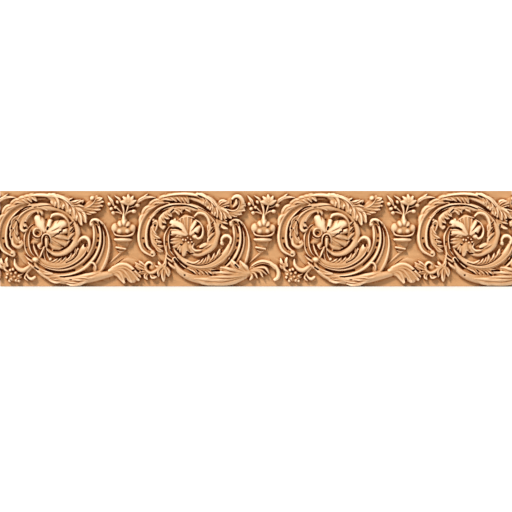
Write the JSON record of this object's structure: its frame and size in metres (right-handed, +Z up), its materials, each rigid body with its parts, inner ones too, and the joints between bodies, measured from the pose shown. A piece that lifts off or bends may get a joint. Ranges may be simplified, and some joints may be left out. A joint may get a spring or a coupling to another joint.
{
  "type": "carved wall moulding",
  "caption": "Straight wooden moulding carved in relief with running acanthus scrolls, flower hearts and urns, with a flat back.",
  "frame": {"origin": "middle of the flat back, where the moulding lies on the wall", "axes": "+X along the length, +Z up the face, +Y out of the back towards the wall, so the carved front looks along -Y"},
  "size_m": [0.966, 0.03, 0.18],
  "materials": {
    "wood": "fine carved hardwood, oiled, a little darker in the hollows"
  },
  "bodies": {
    "root": {"moulding": "wood"}
  },
  "joints": []
}
